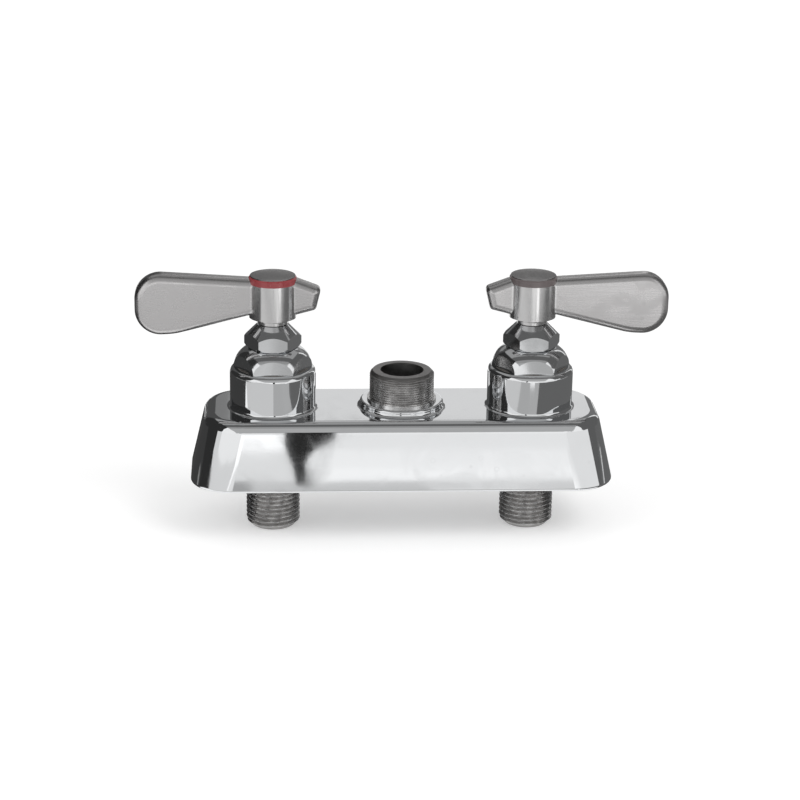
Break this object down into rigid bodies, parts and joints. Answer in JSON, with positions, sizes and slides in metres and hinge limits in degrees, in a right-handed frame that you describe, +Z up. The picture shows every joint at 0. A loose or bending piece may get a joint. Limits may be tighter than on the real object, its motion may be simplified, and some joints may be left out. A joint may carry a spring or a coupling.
{
  "type": "bathroom sink faucet",
  "caption": "Deck-mounted basin faucet base with hot and cold quarter-turn lever valves, threaded shanks and a threaded outlet for a spout.",
  "frame": {"origin": "on the sink deck plane, midway between the two inlet shanks", "axes": "+Z up off the deck, +X along the valves from hot to cold, the user at -Y"},
  "size_m": [0.2084, 0.0536, 0.1038],
  "materials": {
    "body_chrome": "polished chrome plate on cast brass",
    "chrome": "polished chrome plate on turned brass",
    "lever_chrome": "chrome plate on forged brass, lightly brushed",
    "cap_chrome": "pressed cap with a dark, lightly brushed chrome plate",
    "threaded_chrome": "thin chrome plate on cut thread",
    "brass": "turned",
    "stainless": "turned stainless steel",
    "rubber": "moulded black rubber",
    "fibre": "pressed dark grey fibre",
    "ptfe": "white fluoropolymer",
    "hot_index": "moulded red plastic",
    "cold_index": "moulded dark neutral plastic"
  },
  "bodies": {
    "body": {"faucet_body": "body_chrome", "outlet_spigot": "threaded_chrome", "outlet_seal_ring": "rubber", "hot_inlet_shank": "threaded_chrome", "hot_valve_ring": "brass", "hot_bonnet_gasket": "fibre", "hot_bonnet": "chrome", "hot_packing": "ptfe", "hot_packing_follower": "brass", "hot_packing_nut": "chrome", "cold_inlet_shank": "threaded_chrome", "cold_valve_ring": "brass", "cold_bonnet_gasket": "fibre", "cold_bonnet": "chrome", "cold_packing": "ptfe", "cold_packing_follower": "brass", "cold_packing_nut": "chrome"},
    "hot_washer_carrier": {"hot_washer_holder": "brass", "hot_valve_washer": "rubber", "hot_washer_screw": "stainless", "hot_swivel_ring": "stainless"},
    "hot_lever": {"hot_spindle": "brass", "hot_handle": "lever_chrome", "hot_handle_screw": "stainless", "hot_index_ring": "hot_index", "hot_index_cap": "cap_chrome"},
    "cold_washer_carrier": {"cold_washer_holder": "brass", "cold_valve_washer": "rubber", "cold_washer_screw": "stainless", "cold_swivel_ring": "stainless"},
    "cold_lever": {"cold_spindle": "brass", "cold_handle": "lever_chrome", "cold_handle_screw": "stainless", "cold_index_ring": "cold_index", "cold_index_cap": "cap_chrome"}
  },
  "joints": [
    {"name": "hot_spindle_rise", "type": "slide", "parent": "body", "child": "hot_washer_carrier", "axis": [0, 0, 1], "range_m": [0, 0.003]},
    {"name": "hot_handle_turn", "type": "hinge", "parent": "hot_washer_carrier", "child": "hot_lever", "pos_m": [-0.0508, 0, 0.06], "axis": [0, 0, 1], "range_deg": [0, 90]},
    {"name": "cold_spindle_rise", "type": "slide", "parent": "body", "child": "cold_washer_carrier", "axis": [0, 0, 1], "range_m": [0, 0.003]},
    {"name": "cold_handle_turn", "type": "hinge", "parent": "cold_washer_carrier", "child": "cold_lever", "pos_m": [0.0508, 0, 0.06], "axis": [0, 0, 1], "range_deg": [-90, 0]}
  ],
  "couplings": [
    {"joint": "hot_spindle_rise", "follows": "hot_handle_turn", "m_per_rad": 0.0019099},
    {"joint": "cold_spindle_rise", "follows": "cold_handle_turn", "m_per_rad": -0.0019099}
  ]
}
